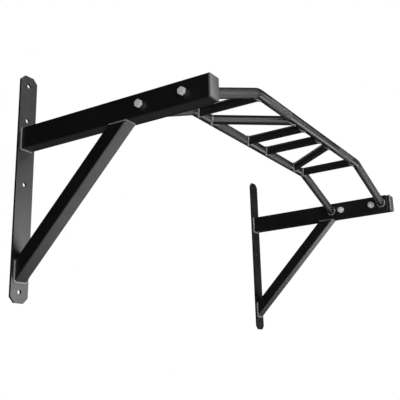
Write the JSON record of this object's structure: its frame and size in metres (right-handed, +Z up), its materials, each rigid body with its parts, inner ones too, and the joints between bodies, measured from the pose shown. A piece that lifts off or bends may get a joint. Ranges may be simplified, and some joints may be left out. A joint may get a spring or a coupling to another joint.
{
  "type": "wall-mounted pull up bar",
  "caption": "Wall-mounted pull up bar: two braced steel brackets carry a raised, cambered frame of twin bars joined by straight and angled cross grips.",
  "frame": {"origin": "on the wall plane, midway between the two wall plates and level with their centre holes", "axes": "+X along the wall from the left bracket to the right one, +Y into the wall, +Z up"},
  "size_m": [1.36, 0.6, 0.62],
  "materials": {
    "black_powder_coat": "semi-gloss black powder coat",
    "bar_coat": "satin black powder coat with a fine texture for grip",
    "cap_plastic": "matt black moulded plastic",
    "zinc_plate": "bright zinc plated"
  },
  "bodies": {
    "root": {"left_wall_plate": "black_powder_coat", "left_arm_tube": "black_powder_coat", "left_brace_tube": "black_powder_coat", "left_arm_end_cap": "cap_plastic", "left_end_plate": "black_powder_coat", "left_bolts": "zinc_plate", "left_washers": "zinc_plate", "left_nuts": "zinc_plate", "left_outer_grip": "bar_coat", "left_angled_grip": "bar_coat", "left_inner_grip": "bar_coat", "right_wall_plate": "black_powder_coat", "right_arm_tube": "black_powder_coat", "right_brace_tube": "black_powder_coat", "right_arm_end_cap": "cap_plastic", "right_end_plate": "black_powder_coat", "right_bolts": "zinc_plate", "right_washers": "zinc_plate", "right_nuts": "zinc_plate", "right_outer_grip": "bar_coat", "right_angled_grip": "bar_coat", "right_inner_grip": "bar_coat", "rear_bar": "bar_coat", "front_bar": "bar_coat"}
  },
  "joints": []
}
